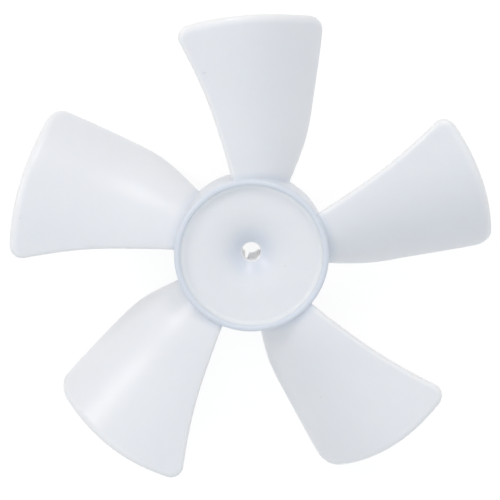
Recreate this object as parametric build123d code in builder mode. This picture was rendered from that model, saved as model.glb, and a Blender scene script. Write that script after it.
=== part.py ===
from build123d import *
from math import atan2, cos, radians, sin, tan
import os

# Five-blade axial fan impeller, moulded in one piece in natural polypropylene.
# Millimetres. +Z runs along the shaft towards the front, the side the air enters.
# The origin is on the shaft axis, in the plane of the split boss's rear end.
# Seen from the front the fan turns anticlockwise, flat leading edges first.

# Hub cup, open to the rear, with a rounded rim bead round its front
overall_height = 21.7
hub_height = 16.6
hub_radius = 24.4
hub_wall = 2.0
hub_draft_deg = 1.0
core_draft_deg = 0.6
core_corner_radius = 1.2

# Front face: a flat ring below the rim, then a funnel down to the bore
rim_wall_height = 0.1
rim_cove_radius = 1.2
face_thickness = 2.0
face_width = 7.4
face_fall = 0.25
funnel_depth = 4.9
mouth_round = 0.35

# Split boss for a plain round shaft
bore_radius = 3.0
lead_in = 0.4
boss_wall = 2.2
boss_taper = 0.4
boss_root_fillet = 1.0
finger_count = 4
slot_width = 1.6
slot_end_gap = 1.25
first_slot_deg = 67.0

# Blades
blade_count = 5
first_blade_deg = 90.0
blade_thickness = 2.1
tip_radius = 76.2
tip_offset = 1.1
leading_corner_radius = 4.0
trailing_corner_radius = 4.8
rear_edge_radius = 0.35
edge_land = 0.25
root_sink = 0.7
root_fillet = 0.6

# One row for each section across a blade that points along X, from inside the hub to past the
# tip: distance out from the hub's wall, leading edge sideways and height, trailing edge sideways
# and height, and the flat width behind the leading edge. Heights are from the hub's front plane.
blade_sections = [
    (-8.4, 3.2, -1.2, -10.2, -13.3, 0.8),
    (0.6, 6.0, -0.9, -14.5, -16.8, 1.0),
    (9.6, 8.95, -0.4, -17.75, -20.7, 1.2),
    (21.6, 12.8, -0.3, -20.1, -22.2, 2.5),
    (35.6, 18.75, 0.5, -22.1, -21.3, 7.0),
    (45.6, 23.9, 1.4, -23.3, -20.6, 11.3),
    (55.6, 29.4, 2.3, -24.4, -20.1, 16.0),
]

# The blade's front surface is drawn a little past its edges and trimmed to its outline
surface_margin = 3.0
arc_steps = 6
trim_depth = 35.0
trim_height = 15.0


def section_curve(reach, lead_y, lead_z, trail_y, trail_z, flat):
    """One section of the blade's front surface: flat behind the leading edge, then an arc."""
    arc_start = lead_y - flat
    run = arc_start - trail_y
    fall = lead_z - trail_z
    radius = (run**2 + fall**2) / (2 * fall)
    turn = atan2(run, radius - fall) + surface_margin / radius
    angles = [turn * step / arc_steps for step in range(arc_steps + 1)]
    arc = [(arc_start - radius * sin(a), lead_z - radius * (1 - cos(a))) for a in angles]
    start = (lead_y + surface_margin, lead_z)
    middle = ((start[0] + arc_start) / 2, lead_z)
    origin = (hub_radius + reach, 0, overall_height)
    with BuildLine(Plane(origin=origin, x_dir=(0, 1, 0), z_dir=(1, 0, 0))) as section:
        Spline(start, middle, *arc, tangents=((-1, 0), (-cos(turn), -sin(turn))))
    return section.wire()


# Blade outline, seen from the front, with its rounded tip corners. The tip's arc is centred
# a little to the trailing side of the axis, so the blade is longest at its trailing corner.
root_radius = hub_radius - root_sink
with BuildSketch(Plane.XY.offset(overall_height - trim_depth)) as blade_outline:
    with BuildLine():
        leading_edge = Spline(*[(hub_radius + row[0], row[1]) for row in blade_sections])
        trailing_edge = Spline(*[(hub_radius + row[0], row[3]) for row in blade_sections])
        Line(leading_edge @ 0, trailing_edge @ 0)
        Line(leading_edge @ 1, trailing_edge @ 1)
    make_face()
    with Locations((0, -tip_offset)):
        Circle(tip_radius, mode=Mode.INTERSECT)
    Circle(root_radius, mode=Mode.SUBTRACT)
    tip_corners = blade_outline.vertices().sort_by(Axis.X)[-2:].sort_by(Axis.Y)
    fillet(tip_corners[1], leading_corner_radius)
    fillet(blade_outline.vertices().sort_by(Axis.Y)[0], trailing_corner_radius)

front_surface = Shell.make_loft([section_curve(*row) for row in blade_sections]).face()
outline_prism = extrude(blade_outline.sketch, amount=trim_depth + trim_height)
blade_front = (front_surface & outline_prism).face()

# Blade: the trimmed surface thickened towards the rear, with a rounded edge all round
front_edge_radius = blade_thickness - rear_edge_radius - edge_land
with BuildPart() as blade:
    thicken(blade_front, amount=-blade_thickness)
    front_face = blade.faces().sort_by(SortBy.AREA)[-2:].sort_by(Axis.Z)[-1]
    fillet(front_face.edges().sort_by(Axis.X)[1:], front_edge_radius)
    rear_face = blade.faces().sort_by(SortBy.AREA)[-2:].sort_by(Axis.Z)[0]
    fillet(rear_face.edges().sort_by(Axis.X)[1:], rear_edge_radius)

# Heights and radii of the hub cup, its face, the funnel and the boss
bead_radius = hub_wall / 2
bead_z = overall_height - bead_radius
face_z = bead_z - rim_wall_height - rim_cove_radius
face_back_z = face_z - face_thickness
funnel_z = face_z - face_fall
mouth_z = funnel_z - funnel_depth
boss_root_z = mouth_z - face_thickness
slot_depth = boss_root_z - slot_end_gap
hub_rear_z = overall_height - hub_height
inner_radius = hub_radius - hub_wall
funnel_radius = inner_radius - face_width
boss_radius = bore_radius + boss_wall
boss_root_radius = boss_radius + boss_taper
hub_rear_radius = hub_radius - (bead_z - hub_rear_z) * tan(radians(hub_draft_deg))
core_rear_radius = inner_radius + (face_back_z - hub_rear_z) * tan(radians(core_draft_deg))

# The hub is turned from one profile, which starts between two blades. Then the boss is slotted,
# and the blades are set round the hub and run into it with a small fillet.
profile_deg = first_blade_deg - 0.6 * 360 / blade_count
with BuildPart() as impeller:
    with BuildSketch(Plane.XZ.rotated((0, 0, profile_deg))) as hub_profile:
        with BuildLine():
            outer_wall = Line((hub_rear_radius, hub_rear_z), (hub_radius, bead_z))
            bead = CenterArc((hub_radius - bead_radius, bead_z), bead_radius, 0, 180)
            recess_wall = Line(bead @ 1, (inner_radius, face_z))
            face = Line(recess_wall @ 1, (funnel_radius, funnel_z))
            funnel = TangentArc(face @ 1, (bore_radius, mouth_z), tangent=face % 1)
            bore_wall = Line(funnel @ 1, (bore_radius, lead_in))
            bore_lead = Line(bore_wall @ 1, (bore_radius + lead_in, 0))
            boss_end = Line(bore_lead @ 1, (boss_radius, 0))
            boss_side = Line(boss_end @ 1, (boss_root_radius, boss_root_z))
            funnel_back_start = (funnel_radius, funnel_z - face_thickness)
            funnel_back = TangentArc(funnel_back_start, boss_side @ 1, tangent=face % 1)
            face_back = Line(funnel_back @ 0, (inner_radius, face_back_z))
            core_wall = Line(face_back @ 1, (core_rear_radius, hub_rear_z))
            Line(core_wall @ 1, outer_wall @ 0)
        make_face()
        for corner, radius in (
            (recess_wall @ 1, rim_cove_radius),
            (funnel @ 1, mouth_round),
            (boss_side @ 1, boss_root_fillet),
            (core_wall @ 0, core_corner_radius),
        ):
            fillet(hub_profile.vertices().sort_by_distance(corner)[0], radius)
    revolve(axis=Axis.Z)
    with PolarLocations(0, finger_count, start_angle=first_slot_deg):
        Box(
            boss_root_radius + boss_root_fillet,
            slot_width,
            slot_depth,
            align=(Align.MIN, Align.CENTER, Align.MIN),
            mode=Mode.SUBTRACT,
        )
    with PolarLocations(0, blade_count, start_angle=first_blade_deg):
        add(blade.part)
    root_edges = impeller.edges(Select.NEW).sort_by(SortBy.LENGTH)[-2 * blade_count :]
    fillet(root_edges, root_fillet)
impeller.part.label = "impeller"

os.makedirs("parts", exist_ok=True)
export_step(impeller.part, "parts/impeller.step")
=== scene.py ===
import math

import bpy
import numpy as np
from bpy.props import FloatProperty, FloatVectorProperty, IntProperty, PointerProperty
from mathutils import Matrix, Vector


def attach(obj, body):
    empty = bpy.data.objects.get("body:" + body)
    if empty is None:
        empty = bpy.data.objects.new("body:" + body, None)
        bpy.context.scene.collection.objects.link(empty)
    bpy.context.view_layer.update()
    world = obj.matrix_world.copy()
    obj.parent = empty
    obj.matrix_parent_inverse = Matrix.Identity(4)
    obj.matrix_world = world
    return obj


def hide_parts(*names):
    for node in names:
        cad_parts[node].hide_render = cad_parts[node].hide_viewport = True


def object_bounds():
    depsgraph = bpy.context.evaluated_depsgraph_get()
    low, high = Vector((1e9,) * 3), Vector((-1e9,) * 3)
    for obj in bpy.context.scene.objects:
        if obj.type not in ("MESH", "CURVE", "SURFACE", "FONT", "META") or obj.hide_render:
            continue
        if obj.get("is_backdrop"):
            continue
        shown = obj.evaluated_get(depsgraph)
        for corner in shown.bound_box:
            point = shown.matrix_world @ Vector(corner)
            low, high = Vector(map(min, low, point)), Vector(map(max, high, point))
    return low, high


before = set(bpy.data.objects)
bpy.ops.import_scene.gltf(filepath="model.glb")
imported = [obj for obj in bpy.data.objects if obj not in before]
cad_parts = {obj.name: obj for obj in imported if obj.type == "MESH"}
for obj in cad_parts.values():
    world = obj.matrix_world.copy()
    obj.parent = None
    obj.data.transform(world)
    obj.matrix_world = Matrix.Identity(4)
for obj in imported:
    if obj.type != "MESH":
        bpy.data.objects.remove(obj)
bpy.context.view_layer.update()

# A five-blade axial fan impeller, moulded in one piece in natural polypropylene, lying front up on
# a white table. Metres, in the frame of the solid: +Z along the shaft towards the front, +Y through
# the middle of one blade, and the origin on the shaft axis at the rear end of the split boss.

bl_info = {
    "name": "Axial fan impeller",
    "version": (1, 0, 0),
    "blender": (4, 5, 0),
    "location": "3D View > Sidebar > Fan impeller",
    "description": "Moulds a fan impeller with cambered blades and sets it in a white studio",
    "category": "Add Mesh",
}

MM = 0.001
BLADE_FORM = "blade_form"
HUB_FORM = "hub_profile"
MOULDING = "impeller_moulding"
PLASTIC = "natural_polypropylene"
PAINTED_EDGE_LIGHT = "edge"
VECTOR = "ShaderNodeVectorMath"

# One row for each section across a blade that points along X, in millimetres: distance out from
# the axis, leading edge sideways and height, trailing edge sideways and height, and the flat width
# behind the leading edge. Heights are from the hub's front plane.
BLADE_SECTIONS = (
    (16.0, 4.1, -1.2, -10.0, -13.3, 0.8),
    (25.0, 6.4, -0.9, -14.2, -16.8, 1.0),
    (34.0, 8.95, -0.4, -17.75, -20.7, 1.2),
    (46.0, 12.8, -0.3, -20.1, -22.2, 2.5),
    (60.0, 18.75, 0.5, -22.1, -21.3, 7.0),
    (70.0, 23.9, 1.4, -23.3, -20.6, 11.3),
    (80.0, 29.4, 2.3, -24.4, -20.1, 16.0),
)

# Small marks on the front, in millimetres: place by x and y, and radius. A speck is whole within
# a share of its radius. The scuff is half a ring, with its width as a share of its radius, and it
# ends between two heights across its middle.
SPECKS = ((-72.5, 12.6, 0.22), (10.6, -3.8, 0.2), (22.0, -47.1, 0.2))
SPECK_CORE = 0.4
SCUFF = (-14.9, 58.7, 0.5)
SCUFF_WIDTH = 0.25
SCUFF_ENDS = (0.1, -0.2)

# Zones where light or shade is painted into the plastic's colour: painted shade on the rim bead and
# the blade roots, painted light in the cove and on the bore's wall. Each fades in from the first
# distance to the second, in millimetres outwards or up from the wall's inside, the hub's wall, the
# bore's wall or the top of the rim.
RIM_SHADE_INSIDE = (-0.2, 0.1)
RIM_SHADE_OUTSIDE = (0.4, 0.1)
RIM_SHADE_BELOW = (-1.6, -0.9)
COVE_LIGHT_INSIDE = (-1.5, -0.8)
COVE_LIGHT_OUTSIDE = (0.05, -0.15)
COVE_LIGHT_BELOW = (-3.2, -2.7)
ROOT_SHADE_INSIDE = (-1.4, -0.6)
ROOT_SHADE_OUTSIDE = (3.2, 0.3)
BORE_OUTSIDE = (0.3, 0.1)
# The painted shade round the mouth deepens from this far inside the funnel's start, and upwards to
# this height
MOUTH_SHADE_START = 4.0
MOUTH_SHADE_HEIGHT = 12.0

# The plastic's patterns: repeats to a metre, and how far each goes down and up
MOTTLE_SCALE = 180.0
MOTTLE = (0.985, 1.01)
WEAR_SCALE = 420.0
WEAR = (-0.05, 0.06)
GRAIN_SCALE = 2600.0
# Part of the light depth that is left in the rim
RIM_DEPTH = 0.3
# Upward lean of the surface at which a mark is whole
MARK_LEAN = 0.2
# Painted light inside the trailing edge, and what the tip's edge loses of its painted light, as
# parts of an edge's own
TRAILING_LIGHT = 0.55
TIP_DIMMING = 0.4

# How finely the forms are drawn
EDGE_STEPS = 44
CORNER_STEPS = 7
TIP_STEPS = 34
FRONT_ROUND_STEPS = 9
REAR_ROUND_STEPS = 3
BEAD_STEPS = 20
FUNNEL_STEPS = 22
FUNNEL_BACK_STEPS = 10
COVE_STEPS = 9
MOUTH_STEPS = 5
BOSS_ROOT_STEPS = 6
CORE_CORNER_STEPS = 8
CUP_EDGE_STEPS = 5
SHARP_ANGLE = math.radians(35)
# Rows of points out from the hub's wall, in millimetres, close together in the root fillet
ROOT_ROWS = (-0.9, -0.45, -0.04, 0.02, 0.05, 0.1, 0.17, 0.26, 0.37, 0.5, 0.66, 0.85, 1.15, 1.5)
# The fillet is drawn down to this near the wall. Inside the wall the root swells this steeply and
# over this depth, so that its skin crosses the wall's.
FILLET_END = 0.02 * MM
SWELL = 3
SWELL_DEPTH = 0.06 * MM
# Parts of the tip's radius: where the wider round begins, and over how much it comes in
TIP_START = 0.86
TIP_BLEND = 0.1

# How points are found: steps that slopes are taken over in x and across, rounds of each search,
# and where it begins
STEP_X = 1e-5
STEP_ACROSS = 1e-3
INSET_ROUNDS = 3
WALL_ROUNDS = 8
CORNER_ROUNDS = 50
ROOT_X = 22.0 * MM
CORNER_X = (60 * MM, 79.9 * MM)
# The section's arc is found from its sine, which stays under that of a quarter turn
STEEPEST_SINE = 0.9999

# The photograph's camera: its place in millimetres and its turns about X, Y and Z in degrees
CAMERA_PLACE = (-24.657, 336.304, 1723.868)
CAMERA_TURNS = (-11.1131, -0.7978, 0.0776)
SENSOR_WIDTH = 36
# The table's half width in metres, and its gap under the fan
FLOOR_HALF = 3.0
FLOOR_GAP = 0.05 * MM


def length(name, millimetres, description):
    """A size in metres, given in millimetres."""
    return FloatProperty(
        name=name,
        description=description,
        default=millimetres * MM,
        min=0.0,
        unit="LENGTH",
        precision=5,
    )


def angle(name, degrees, description):
    """An angle, given in degrees."""
    return FloatProperty(
        name=name, description=description, default=math.radians(degrees), unit="ROTATION"
    )


def colour(name, values, description):
    """A linear colour."""
    return FloatVectorProperty(
        name=name,
        description=description,
        default=values,
        min=0.0,
        max=1.0,
        subtype="COLOR",
        size=3,
    )


def level(name, value, description, **limits):
    """A plain number that isn't negative, unless it is given another limit."""
    limits = {"min": 0.0, **limits}
    return FloatProperty(name=name, description=description, default=value, **limits)


def number(name, value, least, description):
    """A count."""
    return IntProperty(name=name, description=description, default=value, min=least)


class FanHubSizes(bpy.types.PropertyGroup):
    """Sizes of the hub cup, its dished face and the split boss"""

    overall_height: length("Overall height", 21.7, "From the boss's rear end to the top of the rim")
    cup_height: length("Cup height", 16.6, "From the cup's rear edge to the top of the rim")
    radius: length("Hub radius", 24.4, "Outside of the cup at the rim")
    wall: length("Wall", 2.0, "Thickness of the cup's wall, and so of its rim bead")
    draft: angle("Outer draft", 1.0, "Slope of the cup's outer wall")
    core_draft: angle("Core draft", 0.6, "Slope of the cup's inner wall")
    rear_round: length("Rear round", 0.5, "Round on the cup's rear edges")
    core_corner: length("Core corner", 1.2, "Round inside the cup behind the face")
    rim_wall: length("Rim wall", 0.1, "Plain wall between the rim bead and the cove inside it")
    rim_cove: length("Rim cove", 1.2, "Cove between the rim and the face")
    face_thickness: length("Face thickness", 2.0, "Thickness of the face and of the funnel")
    face_width: length("Face width", 7.4, "Width of the ring outside the funnel")
    face_fall: length("Face fall", 0.25, "How far the ring falls towards the funnel")
    funnel_depth: length("Funnel depth", 4.9, "From the ring down to the mouth of the bore")
    mouth_round: length("Mouth round", 0.35, "Round at the mouth of the bore")
    bore_radius: length("Bore radius", 3.0, "Radius of the shaft that the boss grips")
    lead_in: length("Lead-in", 0.4, "Chamfer at the rear end of the bore")
    boss_wall: length("Boss wall", 2.2, "Thickness of the boss's fingers at their ends")
    boss_taper: length("Boss taper", 0.4, "How much thicker the fingers are at their roots")
    boss_root: length("Boss root", 1.0, "Round where the boss leaves the funnel")
    finger_count: number("Fingers", 4, 1, "Number of fingers in the boss")
    slot_width: length("Slot width", 1.6, "Width of the slots between the fingers")
    slot_end_gap: length("Slot end gap", 1.25, "From the end of a slot to the boss's root")
    first_slot: angle("First slot", 67.0, "Direction of the first slot")
    turning_steps: number("Turning steps", 240, 24, "Facets round the hub")


class FanBladeSizes(bpy.types.PropertyGroup):
    """Sizes of the blades"""

    count: number("Blades", 5, 1, "Number of blades")
    first: angle("First blade", 90.0, "Direction of the first blade")
    thickness: length("Thickness", 2.1, "Thickness of a blade")
    tip_radius: length("Tip radius", 76.2, "Radius of the arc along the tips")
    tip_offset: length("Tip offset", 1.1, "How far the tip's arc is centred to the trailing side")
    leading_corner: length("Leading corner", 4.0, "Round of the leading tip corner")
    trailing_corner: length("Trailing corner", 4.8, "Round of the trailing tip corner")
    front_round: length("Front edge round", 1.5, "Round along the front of a blade's edge")
    tip_round: length("Tip round", 2.4, "Width of that round along the tip")
    rear_round: length("Rear edge round", 0.35, "Round along the rear of a blade's edge")
    root_fillet: length("Root fillet", 0.6, "Fillet where a blade leaves the hub")
    # The trailing glow is painted light laid on the colour
    trailing_glow: length("Trailing glow", 4.5, "Width of the thin, lighter trailing edge")


class FanPlastic(bpy.types.PropertyGroup):
    """Look of the plastic"""

    colour: colour("Colour", (0.845, 0.855, 0.875), "Milky natural polypropylene")
    # Painted shade on the rim bead, for the light lost down the thick cup wall
    rim: colour("Rim", (0.775, 0.81, 0.865), "Rim bead over the cup's wall, deeper in colour")
    # Painted shade round the mouth of the bore
    mouth: colour("Mouth", (0.77, 0.80, 0.85), "Thick plastic round the mouth of the bore")
    # Painted light: the bore's wall is made near white, as if lit from below
    bore: colour("Bore", (0.99, 0.993, 0.996), "Wall of the bore, polished and thin enough to glow")
    # Painted light in the cove, where the rim would shade it
    cove: colour("Cove", (0.89, 0.91, 0.94), "Cove inside the rim, where light comes through")
    # Painted shade on the hub's wall and the blade roots
    root: colour("Root", (0.79, 0.815, 0.855), "Hub's wall and the thick roots of the blades")
    # Painted light along the blades' thin edges
    edge: colour("Edge", (0.97, 0.975, 0.98), "Thin edges of the blades, where light comes through")
    mark: colour("Mark", (0.58, 0.62, 0.68), "Small scuffs and specks")
    depth: length("Light depth", 2.0, "How far light spreads inside the plastic")
    roughness: level("Roughness", 0.33, "How satin the skin is", max=1.0, subtype="FACTOR")
    grain: length("Grain", 0.012, "Depth of the moulded surface's fine grain")


class FanStudio(bpy.types.PropertyGroup):
    """Lights, floor and camera"""

    zenith: colour("Zenith", (0.862, 0.889, 0.922), "Even light from above")
    horizon: colour("Horizon", (0.315, 0.34, 0.375), "Even light from the sides")
    lamp: level("Lamps", 2.65, "Power of each soft lamp", unit="POWER")
    lamp_colour: colour("Lamp colour", (1.0, 0.93, 0.88), "Warm white of the soft lamps")
    lamp_size: length("Lamp size", 320.0, "Width of each soft lamp")
    lamp_distance: length("Lamp distance", 1300.0, "From the fan to each soft lamp")
    lamp_rise: angle("Lamp rise", 31.0, "How high the soft lamps stand over the table")
    left_lamp: angle("Left lamp", 150.0, "Direction of the left lamp round the shaft")
    right_lamp: angle("Right lamp", 80.0, "Direction of the right lamp round the shaft")
    floor: colour("Floor", (0.1, 0.1, 0.1), "Matt table, as it lights the fan from below")
    glow: level("Table glow", 0.64, "Light that the table sends up through the plastic")
    seen_floor: colour("Seen floor", (0.26, 0.26, 0.26), "Matt table, as the camera sees it")
    seen_glow: level("Seen glow", 0.815, "White of the table, as the camera sees it")
    lens: level("Lens", 397.6, "Focal length in millimetres", min=1.0)


def smooth_row(stations, values):
    """A natural cubic through the values: returns a function of the station."""
    gap = np.diff(stations)
    count = len(stations)
    system = np.eye(count)
    bend = np.zeros(count)
    for i in range(1, count - 1):
        system[i, i - 1 : i + 2] = gap[i - 1], 2 * (gap[i - 1] + gap[i]), gap[i]
        slope_before = (values[i] - values[i - 1]) / gap[i - 1]
        slope_after = (values[i + 1] - values[i]) / gap[i]
        bend[i] = 6 * (slope_after - slope_before)
    bend = np.linalg.solve(system, bend)

    def value(x):
        i = np.clip(np.searchsorted(stations, x) - 1, 0, count - 2)
        before, after, width = x - stations[i], stations[i + 1] - x, gap[i]
        return (
            (bend[i] * after**3 + bend[i + 1] * before**3) / (6 * width)
            + (values[i] / width - bend[i] * width / 6) * after
            + (values[i + 1] / width - bend[i + 1] * width / 6) * before
        )

    return value


class BladeForm:
    """The form of one blade that points along X, as points and faces.

    A place on its front surface is given by x and by across, which runs from 0 at the leading
    edge to 1 at the trailing edge along the section at x.
    """

    def __init__(self, hub, blade):
        rows = np.array(BLADE_SECTIONS) * MM
        self.hub = hub
        self.blade = blade
        self.section = [smooth_row(rows[:, 0], rows[:, column]) for column in range(1, 6)]
        self.points = []
        self.edge = []
        self.faces = []

    def section_at(self, x):
        """The section at x: its leading edge, flat width, arc's radius and whole width."""
        lead_y, lead_z, trail_y, trail_z, flat = (row(x) for row in self.section)
        run = lead_y - flat - trail_y
        fall = lead_z - trail_z
        radius = (run**2 + fall**2) / (2 * fall)
        turn = np.arctan2(run, radius - fall)
        return lead_y, lead_z, flat, radius, flat + radius * turn

    def front(self, x, across):
        """The point on the front surface."""
        lead_y, lead_z, flat, radius, width = self.section_at(x)
        along = across * width
        turned = np.maximum(along - flat, 0) / radius
        y = lead_y - np.minimum(along, flat) - radius * np.sin(turned)
        z = self.hub.overall_height + lead_z - radius * (1 - np.cos(turned))
        return np.stack([x, y, z], axis=-1)

    def slopes(self, x, across):
        """How the front point moves with x and with across, and the outward normal there."""
        ahead, behind = self.front(x + STEP_X, across), self.front(x - STEP_X, across)
        by_x = (ahead - behind) / (2 * STEP_X)
        ahead, behind = self.front(x, across + STEP_ACROSS), self.front(x, across - STEP_ACROSS)
        by_across = (ahead - behind) / (2 * STEP_ACROSS)
        normal = np.cross(by_across, by_x)
        return by_x, by_across, normal / np.linalg.norm(normal, axis=-1, keepdims=True)

    def across_of(self, x, y):
        """The place across the blade of a point given by x and y."""
        lead_y, _, flat, radius, width = self.section_at(x)
        back = np.clip((lead_y - flat - y) / radius, 0, STEEPEST_SINE)
        return np.where(lead_y - y < flat, lead_y - y, flat + radius * np.arcsin(back)) / width

    def inset(self, x, across, way, distance):
        """Moves places on the surface square to the edge and into the blade. way is the edge's own
        direction in x and across, with the blade on its right."""
        for _ in range(INSET_ROUNDS):
            by_x, by_across, normal = self.slopes(x, across)
            along = by_x * way[0][..., None] + by_across * way[1][..., None]
            inward = np.cross(along, normal)
            inward *= (distance / INSET_ROUNDS / np.linalg.norm(inward, axis=-1))[..., None]
            xx, aa = (by_x * by_x).sum(-1), (by_across * by_across).sum(-1)
            xa = (by_x * by_across).sum(-1)
            px, pa = (by_x * inward).sum(-1), (by_across * inward).sum(-1)
            even = xx * aa - xa**2
            x = x + (px * aa - pa * xa) / even
            across = across + (pa * xx - px * xa) / even
        return x, across

    def edge_profile(self):
        """The rounded edge from front to rear: rows of inset, depth, and how much of the outward
        direction is out of the edge and how much is out of the front."""
        blade = self.blade
        rows = []
        for step in range(FRONT_ROUND_STEPS + 1):
            turned = math.pi / 2 * step / FRONT_ROUND_STEPS
            out, up = math.sin(turned), math.cos(turned)
            inset, depth = blade.front_round * (1 - out), blade.front_round * (1 - up)
            rows.append((inset, depth, out, up))
        for step in range(REAR_ROUND_STEPS + 1):
            turned = math.pi / 2 * step / REAR_ROUND_STEPS
            out, up = math.cos(turned), -math.sin(turned)
            inset, rise = blade.rear_round * (1 - out), blade.rear_round * (1 + up)
            rows.append((inset, blade.thickness - rise, out, up))
        return rows

    def edge_point(self, x, across, way, row):
        """A point of the rounded edge, with its outward direction and its place on the surface."""
        inset, depth, out, up = row
        by_x, by_across, _ = self.slopes(x, across)
        along = by_x * way[0][..., None] + by_across * way[1][..., None]
        x, across = self.inset(x, across, way, inset)
        normal = self.slopes(x, across)[2]
        outward = np.cross(normal, along)
        outward /= np.linalg.norm(outward, axis=-1, keepdims=True)
        return self.front(x, across) - depth * normal, outward * out + normal * up, (x, across)

    def off_wall(self, point):
        """Distance out from the hub's outer wall."""
        bead_z = self.hub.overall_height - self.hub.wall / 2
        wall = self.hub.radius - (bead_z - point[..., 2]) * math.tan(self.hub.draft)
        return np.hypot(point[..., 0], point[..., 1]) - wall

    def at_wall(self, place, x, distance):
        """Moves x until the point that place gives for it is that far from the hub's wall."""
        for _ in range(WALL_ROUNDS):
            x = x + distance - self.off_wall(place(x)[0])
        return x

    def flare(self, point, outward, distance):
        """Pushes the point out along the hub's wall, onto the root fillet."""
        fillet = self.blade.root_fillet
        radial = point * (1, 1, 0)
        radial /= np.linalg.norm(radial, axis=-1, keepdims=True)
        lean = (outward * radial).sum(-1, keepdims=True)
        along_wall = outward - lean * radial
        square = np.linalg.norm(along_wall, axis=-1, keepdims=True)
        slope = -lean / square
        distance = np.asarray(distance)[..., None]
        reach = np.clip(distance, FILLET_END, fillet * (1 + slope / np.hypot(1, slope)))
        rise = slope * (fillet - reach) + fillet * np.hypot(1, slope)
        rise -= np.sqrt(np.maximum(fillet**2 - (fillet - reach) ** 2, 0))
        sunk = np.clip(FILLET_END - distance, 0, SWELL_DEPTH) * SWELL
        return point + along_wall / square * (np.maximum(rise, 0) + sunk)

    def root_rows(self):
        """Rows of points round the blade's root, for its two edges and its two faces. Each entry
        is points, x of the edge and place on the surface, with one line for each row."""
        distance = np.array(ROOT_ROWS) * MM
        parts = {}
        for side, across, way in (("leading", 0.0, 1.0), ("trailing", 1.0, -1.0)):
            profile = []
            for row in self.edge_profile():
                def place(x, row=row, across=across, way=way):
                    ways = (np.full_like(x, way), x * 0)
                    return self.edge_point(x, np.full_like(x, across), ways, row)

                x = self.at_wall(place, np.full(len(distance), ROOT_X), distance)
                point, outward, at = place(x)
                profile.append((self.flare(point, outward, distance), x, *at))
            parts[side] = [np.stack(column, 1) for column in zip(*profile)]
        part = np.linspace(0, 1, self.columns + 1)[1:-1]
        for face, depth, up, index in (
            ("front", 0.0, 1.0, 0),
            ("rear", self.blade.thickness, -1.0, -1),
        ):
            x0, across0 = (at[:, index, None] for at in parts["leading"][2:])
            x1, across1 = (at[:, index, None] for at in parts["trailing"][2:])
            across = across0 + (across1 - across0) * part

            def place(x, across=across, depth=depth, up=up):
                normal = self.slopes(x, across)[2]
                return self.front(x, across) - depth * normal, normal * up

            x = self.at_wall(place, x0 + (x1 - x0) * part, distance[:, None])
            point, outward = place(x)
            parts[face] = [self.flare(point, outward, distance[:, None]), x, x, across]
        return parts

    def add(self, points, edge=0.0):
        """Adds points, with how much painted edge light each gets from lying on the blade's edge.
        Returns their numbers.
        """
        first = len(self.points)
        self.points.extend(map(tuple, np.reshape(points, (-1, 3))))
        self.edge.extend(np.broadcast_to(edge, np.shape(points)[:-1]).ravel())
        return np.arange(first, first + np.size(points) // 3).reshape(np.shape(points)[:-1])

    def strip(self, lower, upper):
        """Quads between two rows of point numbers."""
        for a, b, c, d in zip(lower, lower[1:], upper[1:], upper):
            self.faces.append((a, b, c, d))

    def outline(self, lead_start, trail_start):
        """The blade's edge from the leading side of its root round the tip to the trailing side,
        as places on the surface and the edge's direction there. The starts are x."""
        blade = self.blade
        centre = np.array([0, -blade.tip_offset])

        def corner(side, radius, sign):
            """Start on the edge, centre and end of one rounded corner, seen from the front."""
            low, high = CORNER_X
            for _ in range(CORNER_ROUNDS):
                x = (low + high) / 2
                slope = (side(x + STEP_X) - side(x - STEP_X)) / (2 * STEP_X)
                square = np.array([sign * slope, -sign]) / math.hypot(slope, 1)
                middle = np.array([x, side(x)]) + square * radius
                if np.linalg.norm(middle - centre) > blade.tip_radius - radius:
                    high = x
                else:
                    low = x
            reach = (middle - centre) / np.linalg.norm(middle - centre)
            return x, middle, math.atan2(-square[1], -square[0]), math.atan2(reach[1], reach[0])

        lead_x, lead_mid, lead_a, lead_b = corner(self.section[0], blade.leading_corner, 1)
        trail_x, trail_mid, trail_a, trail_b = corner(self.section[2], blade.trailing_corner, -1)

        def arc(middle, radius, start, end, steps):
            turned = np.linspace(start, end, steps + 1)
            x, y = middle[0] + radius * np.cos(turned), middle[1] + radius * np.sin(turned)
            return np.stack([x, y], -1)

        tip = np.concatenate([
            arc(lead_mid, blade.leading_corner, lead_a, lead_b, 2 * CORNER_STEPS)[:-1],
            arc(centre, blade.tip_radius, lead_b, trail_b, TIP_STEPS)[:-1],
            arc(trail_mid, blade.trailing_corner, trail_b, trail_a, 2 * CORNER_STEPS),
        ])
        tip_across = self.across_of(tip[:, 0], tip[:, 1])
        tip_across[0], tip_across[-1] = 0, 1
        part = np.linspace(0, 1, EDGE_STEPS + 1)
        lead = lead_start + (lead_x - lead_start) * part
        trail = trail_x + (trail_start - trail_x) * part
        x = np.concatenate([lead[:-1], tip[:, 0], trail[1:]])
        across = np.concatenate([lead[:-1] * 0, tip_across, trail[1:] * 0 + 1])
        way_x, way_across = np.gradient(x), np.gradient(across)
        way_across[:EDGE_STEPS] = 0
        way_across[-EDGE_STEPS:] = 0
        return x, across, (way_x, way_across)

    @property
    def columns(self):
        """Steps along the tip, with both its corners."""
        return TIP_STEPS + 2 * CORNER_STEPS

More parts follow.
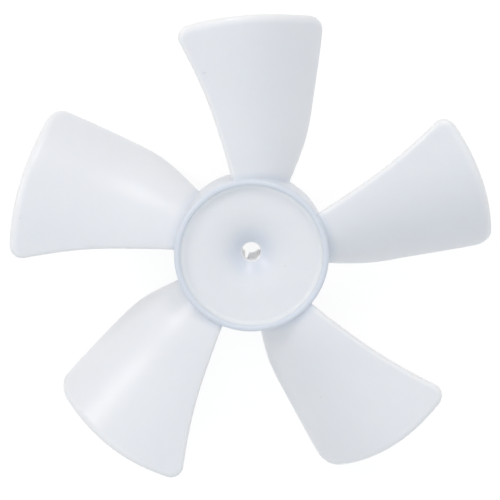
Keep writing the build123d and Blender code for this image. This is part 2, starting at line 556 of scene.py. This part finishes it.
    def patch(self, places, root, depth):
        """The face inside an edge ring: places are those of the ring, root those of the row at
        the root. Returns the points of its inner rows and the painted trailing light there."""
        side = EDGE_STEPS + CORNER_STEPS
        places = np.stack(places, -1)
        lead, trail = places[: side + 1], places[::-1][: side + 1]
        tip = places[side : side + self.columns + 1]
        u = np.linspace(0, 1, self.columns + 1)[None, :, None]
        v = np.linspace(0, 1, side + 1)[:, None, None]
        ruled = (1 - v) * root[None] + v * tip[None] + (1 - u) * lead[:, None] + u * trail[:, None]
        root_line = (1 - u) * root[0] + u * root[-1]
        tip_line = (1 - u) * tip[0] + u * tip[-1]
        inner = (ruled - ((1 - v) * root_line + v * tip_line))[1:-1, 1:-1]
        x, across = inner[..., 0], inner[..., 1]
        return self.front(x, across) - depth * self.slopes(x, across)[2], self.painted_trailing_light(x, across)

    def painted_trailing_light(self, x, across):
        """Painted light near the thin trailing edge, for the light that comes through it there."""
        inside = (1 - across) * self.section_at(x)[4]
        return TRAILING_LIGHT * np.clip(1 - inside / self.blade.trailing_glow, 0, 1) ** 2

    def build(self):
        """Fills in the points and faces: root, rounded edge, front and rear."""
        profile = self.edge_profile()
        parts = self.root_rows()
        side_on = [row[2] for row in profile]
        # Each point also carries its share of painted edge light
        loops = list(zip(
            self.add(parts["leading"][0], side_on),
            self.add(parts["front"][0], self.painted_trailing_light(*parts["front"][2:])),
            self.add(parts["trailing"][0], side_on),
            self.add(parts["rear"][0]),
        ))
        for loop in zip(loops, loops[1:]):
            self.strip(*([lead[0], *front, trail[0]] for lead, front, trail, _ in loop))
            self.strip(*(trail for _, _, trail, _ in loop))
            self.strip(*([trail[-1], *rear[::-1], lead[-1]] for lead, _, trail, rear in loop))
            self.strip(*(lead[::-1] for lead, _, _, _ in loop))
        lead, front, trail, rear = loops[0]
        self.strip([lead[-1], *rear, trail[-1]], [lead[0], *front, trail[0]])
        self.faces.append(tuple(lead))
        self.faces.append(tuple(trail[::-1]))

        lead, front, trail, rear = loops[-1]
        rings = []
        for number, row in enumerate(profile):
            starts = (parts[side][1][-1, number] for side in ("leading", "trailing"))
            x, across, way = self.outline(*starts)
            tip, widest = self.blade.tip_radius, self.blade.tip_round / self.blade.front_round
            near_tip = np.clip((x - TIP_START * tip) / (TIP_BLEND * tip), 0, 1)
            wider = 1 + (widest - 1) * near_tip**2 * (3 - 2 * near_tip)
            point, _, at = self.edge_point(x, across, way, (row[0] * wider, *row[1:]))
            # Painted edge light, weaker near the tip and spread inside the trailing edge
            lit = np.maximum(side_on[number] * (1 - TIP_DIMMING * near_tip), self.painted_trailing_light(*at))
            ring = [lead[number], *self.add(point[1:-1], lit[1:-1]), trail[number]]
            rings.append((ring, at))
        for (ring, _), (below, _) in zip(rings, rings[1:]):
            self.strip(ring, below)
        side = EDGE_STEPS + CORNER_STEPS
        for (ring, at), face, depth, over in (
            (rings[0], "front", 0.0, True),
            (rings[-1], "rear", self.blade.thickness, False),
        ):
            index = 0 if over else -1
            root = np.array([
                [
                    parts["leading"][column][-1, index],
                    *parts[face][column][-1],
                    parts["trailing"][column][-1, index],
                ]
                for column in (2, 3)
            ]).T
            inner = self.add(*self.patch(at, root, depth))
            mesh_rows = [[lead[index], *(front if over else rear), trail[index]]]
            for number in range(1, side):
                mesh_rows.append([ring[number], *inner[number - 1], ring[-1 - number]])
            mesh_rows.append(ring[side : side + self.columns + 1])
            for lower, upper in zip(mesh_rows, mesh_rows[1:]):
                if over:
                    self.strip(lower, upper)
                else:
                    self.strip(lower[::-1], upper[::-1])


def hub_profile_points(hub):
    """The closed outline that the hub is turned from, as distances from the axis and heights."""
    bead = hub.wall / 2
    bead_z = hub.overall_height - bead
    inner = hub.radius - hub.wall
    face_z = bead_z - hub.rim_wall - hub.rim_cove
    face_back_z = face_z - hub.face_thickness
    funnel_r = inner - hub.face_width
    funnel_z = face_z - hub.face_fall
    mouth_z = funnel_z - hub.funnel_depth
    boss_root_z = mouth_z - hub.face_thickness
    rear_z = hub.overall_height - hub.cup_height
    rear_r = hub.radius - (bead_z - rear_z) * math.tan(hub.draft)
    core_r = inner + (face_back_z - rear_z) * math.tan(hub.core_draft)
    boss_r = hub.bore_radius + hub.boss_wall

    def turned(centre, radius, start, end, steps):
        """Points along an arc, as corners without a round."""
        return [
            (centre[0] + radius * math.cos(a), centre[1] + radius * math.sin(a), 0.0, 0)
            for a in np.linspace(start, end, steps + 1)
        ]

    def funnel(start, end, steps):
        """An arc that leaves the ring's slope without a kink and ends at a point."""
        square = Vector((-hub.face_fall, hub.face_width)).normalized() * -1
        gap = Vector(end) - Vector(start)
        radius = gap.length_squared / (2 * gap.dot(square))
        centre = Vector(start) + square * radius
        first = math.atan2(start[1] - centre.y, start[0] - centre.x)
        last = math.atan2(end[1] - centre.y, end[0] - centre.x)
        return turned(centre, radius, first, last, steps)

    bead_arc = turned((hub.radius - bead, bead_z), bead, 0, math.pi, BEAD_STEPS)
    front_funnel = funnel((funnel_r, funnel_z), (hub.bore_radius, mouth_z), FUNNEL_STEPS)
    back_funnel = funnel(
        (funnel_r, funnel_z - hub.face_thickness),
        (boss_r + hub.boss_taper, boss_root_z),
        FUNNEL_BACK_STEPS,
    )
    # Each corner has its place, the radius of its round and the steps along it
    corners = [
        (rear_r, rear_z, hub.rear_round, CUP_EDGE_STEPS),
        *bead_arc,
        (inner, face_z, hub.rim_cove, COVE_STEPS),
        *front_funnel[:-1],
        (hub.bore_radius, mouth_z, hub.mouth_round, MOUTH_STEPS),
        (hub.bore_radius, hub.lead_in, 0.0, 0),
        (hub.bore_radius + hub.lead_in, 0.0, 0.0, 0),
        (boss_r, 0.0, 0.0, 0),
        (boss_r + hub.boss_taper, boss_root_z, hub.boss_root, BOSS_ROOT_STEPS),
        *back_funnel[::-1][1:],
        (inner, face_back_z, hub.core_corner, CORE_CORNER_STEPS),
        (core_r, rear_z, hub.rear_round, CUP_EDGE_STEPS),
    ]
    outline = []
    for number, (r, z, radius, steps) in enumerate(corners):
        here = Vector((r, z))
        if not radius:
            outline.append(here)
            continue
        back = (Vector(corners[number - 1][:2]) - here).normalized()
        ahead = (Vector(corners[(number + 1) % len(corners)][:2]) - here).normalized()
        half = back.angle(ahead) / 2
        centre = here + (back + ahead).normalized() * radius / math.sin(half)
        start = here + back * radius / math.tan(half) - centre
        end = here + ahead * radius / math.tan(half) - centre
        for step in range(steps + 1):
            outline.append(centre + start.slerp(end, step / steps).normalized() * radius)
    return outline


def mesh_object(name, points, edges=(), faces=()):
    """A new object with that mesh, in place of any earlier one of its name."""
    old = bpy.data.objects.get(name)
    if old:
        bpy.data.objects.remove(old)
    mesh = bpy.data.meshes.new(name)
    points = [tuple(map(float, point)) for point in points]
    faces = [tuple(map(int, face)) for face in faces]
    mesh.from_pydata(points, list(edges), faces)
    mesh.validate()
    piece = bpy.data.objects.new(name, mesh)
    bpy.context.scene.collection.objects.link(piece)
    return piece


def feed(tree, socket, value):
    """Gives an input a socket to link from or a plain value."""
    if isinstance(value, bpy.types.NodeSocket):
        tree.links.new(value, socket)
    else:
        socket.default_value = value


def add_node(tree, kind, settings=None, **inputs):
    """A node with its settings and its inputs by name."""
    node = tree.nodes.new(kind)
    for name, value in (settings or {}).items():
        setattr(node, name, value)
    for name, value in inputs.items():
        feed(tree, node.inputs[name.replace("_", " ")], value)
    return node


def worked_out(tree, operation, *values, kind="ShaderNodeMath", output=0):
    """The result of one operation on some values."""
    node = add_node(tree, kind, {"operation": operation})
    for socket, value in zip(node.inputs, values):
        feed(tree, socket, value)
    return node.outputs[output]


def moulding_tree():
    """The rule of the moulding: a hub turned from its profile, slots cut round the boss, and
    blades set round the hub and joined to it."""
    tree = bpy.data.node_groups.new("Moulded impeller", "GeometryNodeTree")
    sockets = (
        ("Geometry", "NodeSocketGeometry"),
        ("Blade", "NodeSocketObject"),
        ("Blade count", "NodeSocketInt"),
        ("First blade", "NodeSocketFloat"),
        ("Hub radius", "NodeSocketFloat"),
        ("Turning steps", "NodeSocketInt"),
        ("Finger count", "NodeSocketInt"),
        ("First slot", "NodeSocketFloat"),
        ("Slot width", "NodeSocketFloat"),
        ("Slot depth", "NodeSocketFloat"),
        ("Slot reach", "NodeSocketFloat"),
        ("Plastic", "NodeSocketMaterial"),
    )
    for name, kind in sockets:
        tree.interface.new_socket(name, in_out="INPUT", socket_type=kind)
    tree.interface.new_socket("Geometry", in_out="OUTPUT", socket_type="NodeSocketGeometry")
    given = tree.nodes.new("NodeGroupInput").outputs

    def set_round(piece, count, first):
        """Copies of a piece at even steps round the axis, as real geometry."""
        points = add_node(tree, "GeometryNodePoints", Count=count)
        index = add_node(tree, "GeometryNodeInputIndex")
        step = worked_out(tree, "DIVIDE", 2 * math.pi, count)
        turn = worked_out(tree, "MULTIPLY_ADD", index.outputs["Index"], step, first)
        about = add_node(tree, "ShaderNodeCombineXYZ", Z=turn)
        copies = add_node(
            tree,
            "GeometryNodeInstanceOnPoints",
            Points=points.outputs["Points"],
            Instance=piece,
            Rotation=about.outputs["Vector"],
        )
        copies = copies.outputs["Instances"]
        return add_node(tree, "GeometryNodeRealizeInstances", Geometry=copies).outputs[0]

    profile = add_node(tree, "GeometryNodeMeshToCurve", Mesh=given["Geometry"])
    path = add_node(
        tree,
        "GeometryNodeCurvePrimitiveCircle",
        Resolution=given["Turning steps"],
        Radius=given["Hub radius"],
    )
    turned = add_node(
        tree,
        "GeometryNodeCurveToMesh",
        Curve=path.outputs["Curve"],
        Profile_Curve=profile.outputs["Curve"],
    )
    # The sweep leaves the hub inside out
    turned = add_node(tree, "GeometryNodeFlipFaces", Mesh=turned.outputs["Mesh"])

    slot_size = add_node(
        tree,
        "ShaderNodeCombineXYZ",
        X=given["Slot reach"],
        Y=given["Slot width"],
        Z=given["Slot depth"],
    ).outputs["Vector"]
    slot = add_node(tree, "GeometryNodeMeshCube", Size=slot_size)
    # A slot's box is moved out by half its reach, to start at the axis
    outwards = worked_out(tree, "MULTIPLY", slot_size, (0.5, 0.0, 0.0), kind=VECTOR)
    slot = add_node(
        tree, "GeometryNodeTransform", Geometry=slot.outputs["Mesh"], Translation=outwards
    )
    slots = set_round(slot.outputs["Geometry"], given["Finger count"], given["First slot"])
    difference = {"operation": "DIFFERENCE", "solver": "MANIFOLD"}
    cut = add_node(tree, "GeometryNodeMeshBoolean", difference)
    tree.links.new(turned.outputs["Mesh"], cut.inputs["Mesh 1"])
    tree.links.new(slots, cut.inputs["Mesh 2"])

    blade = add_node(tree, "GeometryNodeObjectInfo", Object=given["Blade"])
    blades = set_round(blade.outputs["Geometry"], given["Blade count"], given["First blade"])
    joined = add_node(
        tree, "GeometryNodeMeshBoolean", {"operation": "UNION", "solver": "MANIFOLD"}
    )
    tree.links.new(cut.outputs["Mesh"], joined.inputs["Mesh 2"])
    tree.links.new(blades, joined.inputs["Mesh 2"])

    whole = add_node(tree, "GeometryNodeRealizeInstances", Geometry=joined.outputs["Mesh"])
    finished = add_node(
        tree,
        "GeometryNodeSetMaterial",
        Geometry=whole.outputs["Geometry"],
        Material=given["Plastic"],
    )
    result = tree.nodes.new("NodeGroupOutput")
    tree.links.new(finished.outputs["Geometry"], result.inputs["Geometry"])
    return tree


def set_inputs(modifier, **values):
    """Sets a tree's inputs by their identifiers."""
    for item in modifier.node_group.interface.items_tree:
        key = item.name.replace(" ", "_").lower()
        if item.in_out == "INPUT" and key in values:
            modifier[item.identifier] = values.pop(key)
    if values:
        raise RuntimeError(f"The tree has no inputs named {sorted(values)}")


def fade(tree, value, start, end):
    """A soft step from 0 at the start to 1 at the end."""
    smooth = {"interpolation_type": "SMOOTHSTEP"}
    step = add_node(tree, "ShaderNodeMapRange", smooth, Value=value, From_Min=start, From_Max=end)
    return step.outputs["Result"]


def times(tree, *values):
    """The product of some masks."""
    product = values[0]
    for value in values[1:]:
        product = worked_out(tree, "MULTIPLY", product, value)
    return product


def laid_over(tree, under, tint, mask):
    """A colour with a tint laid over it where the mask is."""
    mix = add_node(tree, "ShaderNodeMixRGB", Fac=mask)
    tree.links.new(under, mix.inputs[1])
    mix.inputs[2].default_value = (*tint, 1)
    return mix.outputs["Color"]


def polypropylene(look, hub):
    """Milky natural polypropylene, slightly translucent, with a satin moulded skin."""
    material = bpy.data.materials.new(PLASTIC)
    material.use_nodes = True
    tree = material.node_tree
    shader = tree.nodes["Principled BSDF"]
    place = tree.nodes.new("ShaderNodeTexCoord").outputs["Object"]
    shader.inputs["Subsurface Weight"].default_value = 1.0
    shader.inputs["Subsurface Radius"].default_value = (1.0, 1.05, 1.1)
    shader.inputs["IOR"].default_value = 1.49

    def noise(scale, detail, roughness):
        """A fine, even pattern."""
        return add_node(
            tree,
            "ShaderNodeTexNoise",
            Vector=place,
            Scale=scale,
            Detail=detail,
            Roughness=roughness,
        ).outputs["Fac"]

    darker, lighter = (tuple(min(1.0, share * c) for c in look.colour) for share in MOTTLE)
    tint = add_node(tree, "ShaderNodeMixRGB", Fac=noise(MOTTLE_SCALE, 4.0, 0.6))
    tint.inputs[1].default_value = (*darker, 1)
    tint.inputs[2].default_value = (*lighter, 1)

    flat = worked_out(tree, "MULTIPLY", place, (1.0, 1.0, 0.0), kind=VECTOR)
    reach = worked_out(tree, "LENGTH", flat, kind=VECTOR, output="Value")
    axes = add_node(tree, "ShaderNodeSeparateXYZ", Vector=place).outputs
    height = axes["Z"]
    wall, top, bore_wall = hub.radius, hub.overall_height, hub.bore_radius
    inner = wall - hub.wall

    def zone(value, edge, distances):
        """A soft step between two distances from an edge."""
        return fade(tree, value, *(edge + distance * MM for distance in distances))

    def away(x, y):
        """Distance from a place, seen from the front."""
        mark = (x * MM, y * MM, 0)
        return worked_out(tree, "DISTANCE", flat, mark, kind=VECTOR, output="Value")

    # Painted shade on the rim bead; the same zone also shortens the light depth
    rim = times(
        tree,
        zone(reach, inner, RIM_SHADE_INSIDE),
        zone(reach, wall, RIM_SHADE_OUTSIDE),
        zone(height, top, RIM_SHADE_BELOW),
    )
    # Painted light in the cove inside the rim
    cove = times(
        tree,
        zone(reach, inner, COVE_LIGHT_INSIDE),
        zone(reach, inner, COVE_LIGHT_OUTSIDE),
        zone(height, top, COVE_LIGHT_BELOW),
    )
    # Painted shade on the hub's wall and the thick roots of the blades
    root = times(tree, zone(reach, wall, ROOT_SHADE_OUTSIDE), zone(reach, wall, ROOT_SHADE_INSIDE))
    # Painted light on the bore's wall
    bore = zone(reach, bore_wall, BORE_OUTSIDE)
    funnel_start = inner - hub.face_width
    # Painted shade round the mouth of the bore, deepening towards it
    mouth = times(
        tree,
        fade(tree, reach, funnel_start - MOUTH_SHADE_START * MM, bore_wall + BORE_OUTSIDE[0] * MM),
        fade(tree, height, hub.lead_in, MOUTH_SHADE_HEIGHT * MM),
    )
    # Painted light along the blades' thin edges, carried by the blade's points
    edge = add_node(tree, "ShaderNodeAttribute", {"attribute_name": PAINTED_EDGE_LIGHT}).outputs["Fac"]
    shade = tint.outputs["Color"]
    for tint_over, mask in (
        (look.edge, edge),
        (look.root, root),
        (look.cove, cove),
        (look.rim, rim),
        (look.mouth, mouth),
        (look.bore, bore),
    ):
        shade = laid_over(tree, shade, tint_over, mask)

    normal = tree.nodes.new("ShaderNodeTexCoord").outputs["Normal"]
    lean = add_node(tree, "ShaderNodeSeparateXYZ", Vector=normal).outputs["Z"]
    upward = fade(tree, lean, 0.0, MARK_LEAN)
    for x, y, radius in SPECKS:
        speck = fade(tree, away(x, y), radius * MM, SPECK_CORE * radius * MM)
        shade = laid_over(tree, shade, look.mark, times(tree, speck, upward))
    x, y, radius = SCUFF
    curl = away(x, y)
    scuff = times(
        tree,
        fade(tree, curl, (1 + SCUFF_WIDTH) * radius * MM, radius * MM),
        fade(tree, curl, (1 - SCUFF_WIDTH) * radius * MM, radius * MM),
        fade(tree, axes["Y"], *((y + end) * MM for end in SCUFF_ENDS)),
        upward,
    )
    shade = laid_over(tree, shade, look.mark, scuff)
    tree.links.new(shade, shader.inputs["Base Color"])

    depths = {"To_Min": look.depth, "To_Max": RIM_DEPTH * look.depth}
    spread = add_node(tree, "ShaderNodeMapRange", Value=rim, **depths)
    tree.links.new(spread.outputs["Result"], shader.inputs["Subsurface Scale"])
    smoothest, roughest = (look.roughness + change for change in WEAR)
    satin = {"To_Min": smoothest, "To_Max": roughest}
    gloss = add_node(tree, "ShaderNodeMapRange", Value=noise(WEAR_SCALE, 3.0, 0.5), **satin)
    tree.links.new(gloss.outputs["Result"], shader.inputs["Roughness"])
    grain = noise(GRAIN_SCALE, 2.0, 0.5)
    bump = add_node(tree, "ShaderNodeBump", Height=grain, Strength=0.5, Distance=look.grain)
    tree.links.new(bump.outputs["Normal"], shader.inputs["Normal"])
    return material


class FAN_OT_hub_profile(bpy.types.Operator):
    """Draw the outline that the hub is turned from"""

    bl_idname = "fan.hub_profile"
    bl_label = "Hub profile"
    bl_options = {"REGISTER", "UNDO"}

    def execute(self, context):
        hub = context.scene.fan_hub
        outline = hub_profile_points(hub)
        # The sweep puts the profile's X away from the axis and its Y down the shaft
        points = [(point.x - hub.radius, -point.y, 0) for point in outline]
        edges = [(number, (number + 1) % len(points)) for number in range(len(points))]
        mesh_object(HUB_FORM, points, edges=edges)
        return {"FINISHED"}


class FAN_OT_blade(bpy.types.Operator):
    """Shape one blade with its rounded edges and root fillet"""

    bl_idname = "fan.blade"
    bl_label = "Blade"
    bl_options = {"REGISTER", "UNDO"}

    def execute(self, context):
        blade = BladeForm(context.scene.fan_hub, context.scene.fan_blade)
        blade.build()
        form = mesh_object(BLADE_FORM, blade.points, faces=blade.faces)
        # The blade's points carry their share of painted edge light
        edge = form.data.attributes.new(PAINTED_EDGE_LIGHT, "FLOAT", "POINT")
        edge.data.foreach_set("value", np.array(blade.edge, "f"))
        return {"FINISHED"}


class FAN_OT_moulding(bpy.types.Operator):
    """Turn the hub, cut the boss's slots and join the blades round it"""

    bl_idname = "fan.moulding"
    bl_label = "Moulding"
    bl_options = {"REGISTER", "UNDO"}

    def execute(self, context):
        hub, blade = context.scene.fan_hub, context.scene.fan_blade
        turned = bpy.data.objects[HUB_FORM]
        form = bpy.data.objects[BLADE_FORM]
        modifier = turned.modifiers.new("Moulding", "NODES")
        modifier.node_group = moulding_tree()
        face_z = hub.overall_height - hub.wall / 2 - hub.rim_wall - hub.rim_cove
        mouth_z = face_z - hub.face_fall - hub.funnel_depth
        slot_depth = mouth_z - hub.face_thickness - hub.slot_end_gap
        set_inputs(
            modifier,
            blade=form,
            blade_count=blade.count,
            first_blade=blade.first,
            hub_radius=hub.radius,
            turning_steps=hub.turning_steps,
            finger_count=hub.finger_count,
            first_slot=hub.first_slot,
            slot_width=hub.slot_width,
            slot_depth=2 * slot_depth,
            slot_reach=hub.bore_radius + hub.boss_wall + hub.boss_taper + hub.boss_root,
            plastic=polypropylene(context.scene.fan_plastic, hub),
        )
        evaluated = turned.evaluated_get(context.evaluated_depsgraph_get())
        mesh = bpy.data.meshes.new_from_object(evaluated)
        mesh.name = MOULDING
        turned.modifiers.remove(modifier)
        for helper in (turned, form):
            bpy.data.objects.remove(helper)
        if not mesh.polygons:
            raise RuntimeError("The moulding came out empty")
        mesh.shade_smooth()
        mesh.set_sharp_from_angle(angle=SHARP_ANGLE)
        moulding = bpy.data.objects.new(MOULDING, mesh)
        context.scene.collection.objects.link(moulding)
        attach(moulding, "root")
        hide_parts("impeller")
        return {"FINISHED"}


class FAN_OT_stage(bpy.types.Operator):
    """Set the floor, the lights and the camera"""

    bl_idname = "fan.stage"
    bl_label = "Stage"
    bl_options = {"REGISTER", "UNDO"}

    def execute(self, context):
        scene = context.scene
        studio = scene.fan_studio
        self.make_floor(studio)
        self.make_lights(scene, studio)
        self.make_camera(scene, studio)
        scene.view_settings.view_transform = "Standard"
        return {"FINISHED"}

    def make_floor(self, studio):
        """A white table. The camera sees it whiter than it lights the fan."""
        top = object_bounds()[0].z - FLOOR_GAP
        corners = ((-1, -1), (1, -1), (1, 1), (-1, 1))
        points = [(x * FLOOR_HALF, y * FLOOR_HALF, top) for x, y in corners]
        floor = mesh_object("floor", points, faces=[(0, 1, 2, 3)])
        material = bpy.data.materials.new("white_table")
        material.use_nodes = True
        tree = material.node_tree
        tree.nodes.clear()
        mix = add_node(tree, "ShaderNodeMixShader", Fac=self.seen(tree))
        for socket, white, glow in (
            (mix.inputs[1], studio.floor, studio.glow),
            (mix.inputs[2], studio.seen_floor, studio.seen_glow),
        ):
            matt = add_node(tree, "ShaderNodeBsdfDiffuse", Color=(*white, 1))
            lit = add_node(tree, "ShaderNodeEmission", Color=(1, 1, 1, 1), Strength=glow)
            both = tree.nodes.new("ShaderNodeAddShader")
            tree.links.new(matt.outputs[0], both.inputs[0])
            tree.links.new(lit.outputs[0], both.inputs[1])
            tree.links.new(both.outputs[0], socket)
        out = tree.nodes.new("ShaderNodeOutputMaterial")
        tree.links.new(mix.outputs[0], out.inputs["Surface"])
        floor.data.materials.append(material)
        floor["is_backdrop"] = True

    def seen(self, tree):
        """1 for what the camera sees straight or in gloss or glass, and 0 for light on the fan."""
        rays = tree.nodes.new("ShaderNodeLightPath").outputs
        seen = worked_out(tree, "MAXIMUM", rays["Is Camera Ray"], rays["Is Glossy Ray"])
        return worked_out(tree, "MAXIMUM", seen, rays["Is Transmission Ray"])

    def make_lights(self, scene, studio):
        """Even light that is brighter from above, and two soft lamps for the streaks."""
        world = bpy.data.worlds.new("even_light")
        world.use_nodes = True
        tree = world.node_tree
        background = tree.nodes["Background"]
        way = tree.nodes.new("ShaderNodeTexCoord").outputs["Generated"]
        up = add_node(tree, "ShaderNodeSeparateXYZ", Vector=way).outputs["Z"]
        horizon = tree.nodes.new("ShaderNodeRGB").outputs["Color"]
        horizon.default_value = (*studio.horizon, 1)
        even = laid_over(tree, horizon, studio.zenith, fade(tree, up, 0.0, 1.0))
        light = laid_over(tree, even, (1, 1, 1), self.seen(tree))
        tree.links.new(light, background.inputs["Color"])
        scene.world = world
        away = studio.lamp_distance * math.cos(studio.lamp_rise)
        height = studio.lamp_distance * math.sin(studio.lamp_rise)
        for name, turn in (("left_lamp", studio.left_lamp), ("right_lamp", studio.right_lamp)):
            lamp = bpy.data.lights.new(name, "AREA")
            lamp.shape = "DISK"
            lamp.size = studio.lamp_size
            lamp.energy = studio.lamp
            lamp.color = studio.lamp_colour
            stand = bpy.data.objects.new(name, lamp)
            stand.location = (away * math.cos(turn), away * math.sin(turn), height)
            stand.rotation_euler = (-stand.location).to_track_quat("-Z", "Y").to_euler()
            scene.collection.objects.link(stand)

    def make_camera(self, scene, studio):
        """The photograph's view: down on the front, 11 degrees off the shaft."""
        lens = bpy.data.cameras.new("camera")
        lens.lens = studio.lens
        lens.sensor_width = SENSOR_WIDTH
        camera = bpy.data.objects.new("camera", lens)
        camera.location = Vector(CAMERA_PLACE) * MM
        camera.rotation_euler = [math.radians(turn) for turn in CAMERA_TURNS]
        scene.collection.objects.link(camera)
        scene.camera = camera


class FAN_PT_impeller(bpy.types.Panel):
    """Sizes and steps of the fan impeller"""

    bl_idname = "FAN_PT_impeller"
    bl_label = "Fan impeller"
    bl_space_type = "VIEW_3D"
    bl_region_type = "UI"
    bl_category = "Fan impeller"

    def draw(self, context):
        scene = context.scene
        for group, title, step in (
            ("fan_hub", "Hub", "fan.hub_profile"),
            ("fan_blade", "Blades", "fan.blade"),
            ("fan_plastic", "Plastic", "fan.moulding"),
            ("fan_studio", "Studio", "fan.stage"),
        ):
            box = self.layout.box()
            box.label(text=title)
            sizes = getattr(scene, group)
            for name in sizes.__annotations__:
                box.prop(sizes, name)
            box.operator(step)


CLASSES = (
    FanHubSizes,
    FanBladeSizes,
    FanPlastic,
    FanStudio,
    FAN_OT_hub_profile,
    FAN_OT_blade,
    FAN_OT_moulding,
    FAN_OT_stage,
    FAN_PT_impeller,
)

GROUPS = {
    "fan_hub": FanHubSizes,
    "fan_blade": FanBladeSizes,
    "fan_plastic": FanPlastic,
    "fan_studio": FanStudio,
}


def register():
    for kind in CLASSES:
        bpy.utils.register_class(kind)
    for name, group in GROUPS.items():
        setattr(bpy.types.Scene, name, PointerProperty(type=group))


def unregister():
    for name in GROUPS:
        delattr(bpy.types.Scene, name)
    for kind in reversed(CLASSES):
        bpy.utils.unregister_class(kind)


def main():
    register()
    bpy.ops.fan.hub_profile()
    bpy.ops.fan.blade()
    bpy.ops.fan.moulding()
    bpy.ops.fan.stage()


if __name__ == "__main__":
    main()
